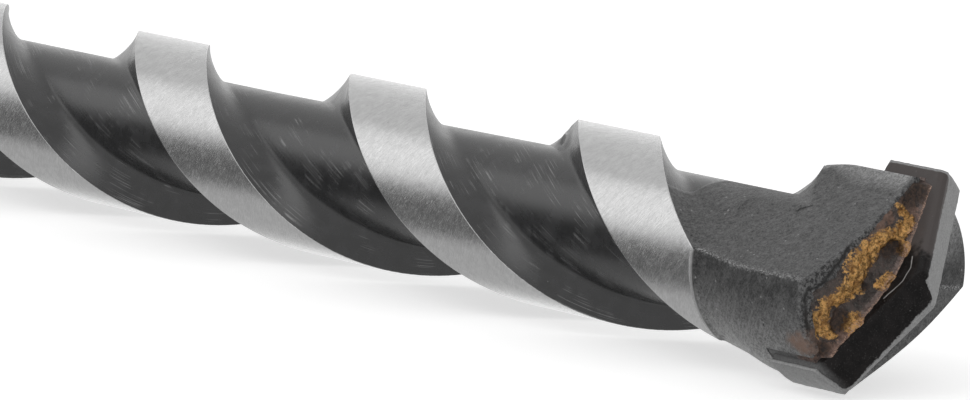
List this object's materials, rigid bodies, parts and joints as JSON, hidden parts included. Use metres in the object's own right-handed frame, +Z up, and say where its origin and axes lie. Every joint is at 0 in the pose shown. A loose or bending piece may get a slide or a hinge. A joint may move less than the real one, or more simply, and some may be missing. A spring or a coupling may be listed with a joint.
{
  "type": "masonry drill bit",
  "caption": "Hammer-drill bit for masonry: slotted shank, spiral-fluted steel body and a brazed carbide plate across the head.",
  "frame": {"origin": "centre of the shank's rear face", "axes": "+X along the bit's axis towards the point, +Z up as the bit lies, right-handed"},
  "size_m": [0.16, 0.01, 0.0092],
  "materials": {
    "hardened_steel": "ground bright on the lands, blackened in the flutes, blasted grey on the head",
    "tungsten_carbide": "sintered grey, stained dark by the brazing, ground along the cutting edges",
    "braze_brass": "as flowed, lumpy, with dark flux stains"
  },
  "bodies": {
    "root": {"steel_body": "hardened_steel", "carbide_tip": "tungsten_carbide", "braze": "braze_brass"}
  },
  "joints": []
}
